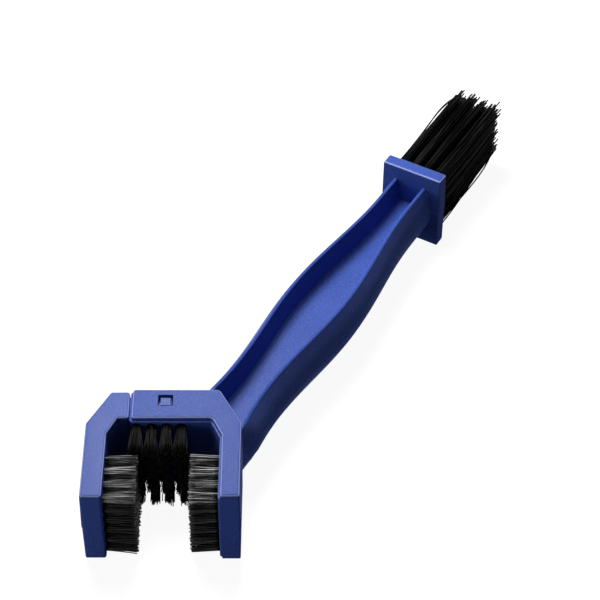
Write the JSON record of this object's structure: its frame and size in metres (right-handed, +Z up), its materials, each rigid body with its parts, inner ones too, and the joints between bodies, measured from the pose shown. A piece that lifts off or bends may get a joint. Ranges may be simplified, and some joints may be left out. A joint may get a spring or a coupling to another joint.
{
  "type": "bicycle chain cleaning brush",
  "caption": "Bicycle chain cleaning brush: a U-shaped head with inward bristles round a chain gap, a detachable side arm with a snap latch, a long handle and a stiff end brush.",
  "frame": {"origin": "centre of the head's crossbar, on the plane that the part lies on", "axes": "+X along the crossbar from the detachable arm to the fixed arm, -Y the way both arms point, +Z up out of the face that the part lies on"},
  "size_m": [0.1899, 0.2721, 0.041],
  "materials": {
    "blue_plastic": "fine-grained satin moulding",
    "arm_blue_plastic": "smooth satin moulding",
    "black_bristle": "satin nylon filament",
    "anchor_steel": "flat wire"
  },
  "bodies": {
    "frame": {"handle_frame": "blue_plastic", "fixed_arm_tufts_row_1": "black_bristle", "fixed_arm_tufts_row_2": "black_bristle", "fixed_arm_tufts_row_3": "black_bristle", "fixed_arm_tufts_row_4": "black_bristle", "fixed_arm_tufts_row_5": "black_bristle", "fixed_arm_tufts_row_6": "black_bristle", "bridge_tufts_row_1": "black_bristle", "bridge_tufts_row_2": "black_bristle", "bridge_tufts_row_3": "black_bristle", "bridge_tufts_row_4": "black_bristle", "bridge_tufts_row_5": "black_bristle", "bridge_tufts_row_6": "black_bristle", "end_tufts_row_1": "black_bristle", "end_tufts_row_2": "black_bristle", "end_tufts_row_3": "black_bristle", "end_tufts_row_4": "black_bristle", "end_tufts_row_5": "black_bristle", "end_tufts_row_6": "black_bristle", "fixed_arm_anchors": "anchor_steel", "bridge_anchors": "anchor_steel", "end_anchors": "anchor_steel"},
    "side_arm": {"side_arm": "arm_blue_plastic", "side_arm_tufts_row_1": "black_bristle", "side_arm_tufts_row_2": "black_bristle", "side_arm_tufts_row_3": "black_bristle", "side_arm_tufts_row_4": "black_bristle", "side_arm_tufts_row_5": "black_bristle", "side_arm_tufts_row_6": "black_bristle", "side_arm_anchors": "anchor_steel"},
    "latch": {"snap_latch": "arm_blue_plastic"}
  },
  "joints": [
    {"name": "side_arm_slide", "type": "slide", "parent": "frame", "child": "side_arm", "axis": [-1, 0, 0], "range_m": [0, 0.03], "deforming": ["snap_latch"]},
    {"name": "latch_press", "type": "hinge", "parent": "side_arm", "child": "latch", "pos_m": [-0.0129, 0.002, 0.037], "axis": [0, 1, 0], "range_deg": [0, 9], "stiffness_Nm_per_rad": 0.2}
  ]
}
